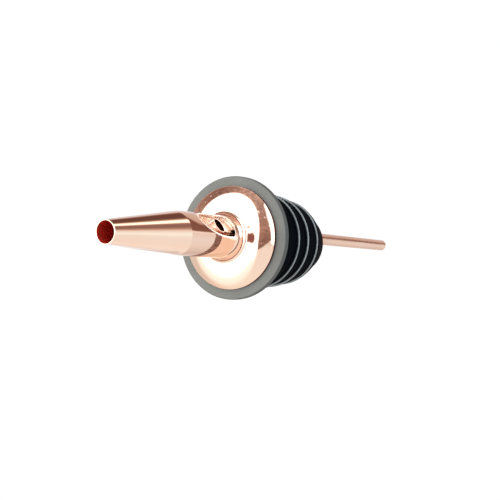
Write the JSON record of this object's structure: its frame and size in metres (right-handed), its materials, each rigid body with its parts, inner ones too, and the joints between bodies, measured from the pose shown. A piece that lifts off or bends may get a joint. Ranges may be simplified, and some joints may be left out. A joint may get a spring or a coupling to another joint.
{
  "type": "liquor pour spout",
  "caption": "Tapered metal pouring spout with a vented heel, domed cap and breather tube, carried in a finned rubber bottle stopper.",
  "frame": {"origin": "on the stopper's axis, level with the lower end of the breather tube, so the whole part stands on z = 0; the flange's underside, which rests on the bottle's lip, is at z = 0.078", "axes": "+Z along the stopper's axis out of the bottle towards the pouring tip; +X the way the spout leans, so the air window faces -X; +Y completes the right-handed frame"},
  "size_m": [0.0286, 0.0286, 0.1253],
  "materials": {
    "stopper_rubber": "matt black rubber, grey where light falls on it",
    "cap_copper": "mirror-polished copper plate",
    "barrel_copper": "polished copper plate",
    "spout_copper": "mirror-polished copper plate",
    "breather_copper": "satin drawn copper-plated tube",
    "baffle_copper": "copper plate, softly polished"
  },
  "bodies": {
    "stopper": {"rubber_stopper": "stopper_rubber"},
    "cap": {"dome_cap": "cap_copper"},
    "pourer": {"barrel_tube": "barrel_copper", "pouring_spout": "spout_copper", "breather_tube": "breather_copper", "vent_baffle": "baffle_copper"}
  },
  "joints": [
    {"name": "pourer_lift", "type": "slide", "parent": "stopper", "child": "cap", "axis": [0, 0, 1], "range_m": [0, 0.085]},
    {"name": "spout_swivel", "type": "hinge", "parent": "cap", "child": "pourer", "pos_m": [0, 0, 0.078], "axis": [0, 0, 1], "continuous": true}
  ]
}
